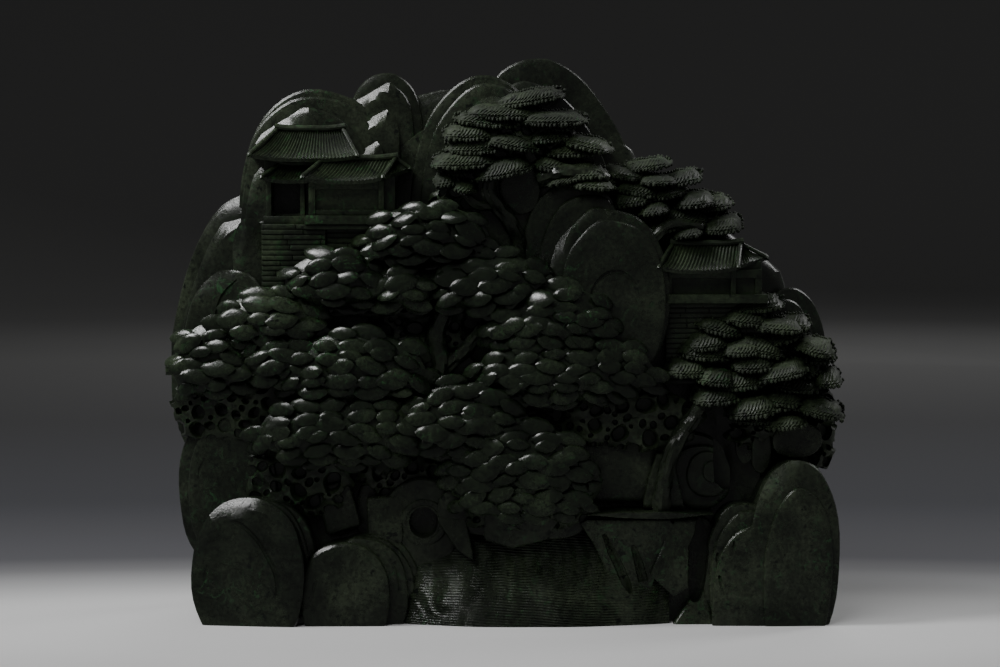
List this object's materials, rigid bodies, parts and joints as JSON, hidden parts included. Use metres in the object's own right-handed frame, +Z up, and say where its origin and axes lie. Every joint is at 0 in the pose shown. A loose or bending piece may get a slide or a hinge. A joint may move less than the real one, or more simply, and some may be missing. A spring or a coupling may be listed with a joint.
{
  "type": "stone mountain carving",
  "caption": "Mountain landscape carved from one dark green stone: nested boulders and peaks, roofed pavilions, pines and a stream, standing on a flat underside.",
  "frame": {"origin": "middle of the flat underside, on the surface that the carving stands on", "axes": "+Z up, +X along the width to the right of someone facing the carved front, +Y towards the back"},
  "size_m": [0.3493, 0.1207, 0.2885],
  "materials": {
    "jade": "dark green nephrite with paler flecks, carved in relief, polished on the broad rock faces and satin in the fine cuts"
  },
  "bodies": {
    "root": {"jade_mountain": "jade"}
  },
  "joints": []
}
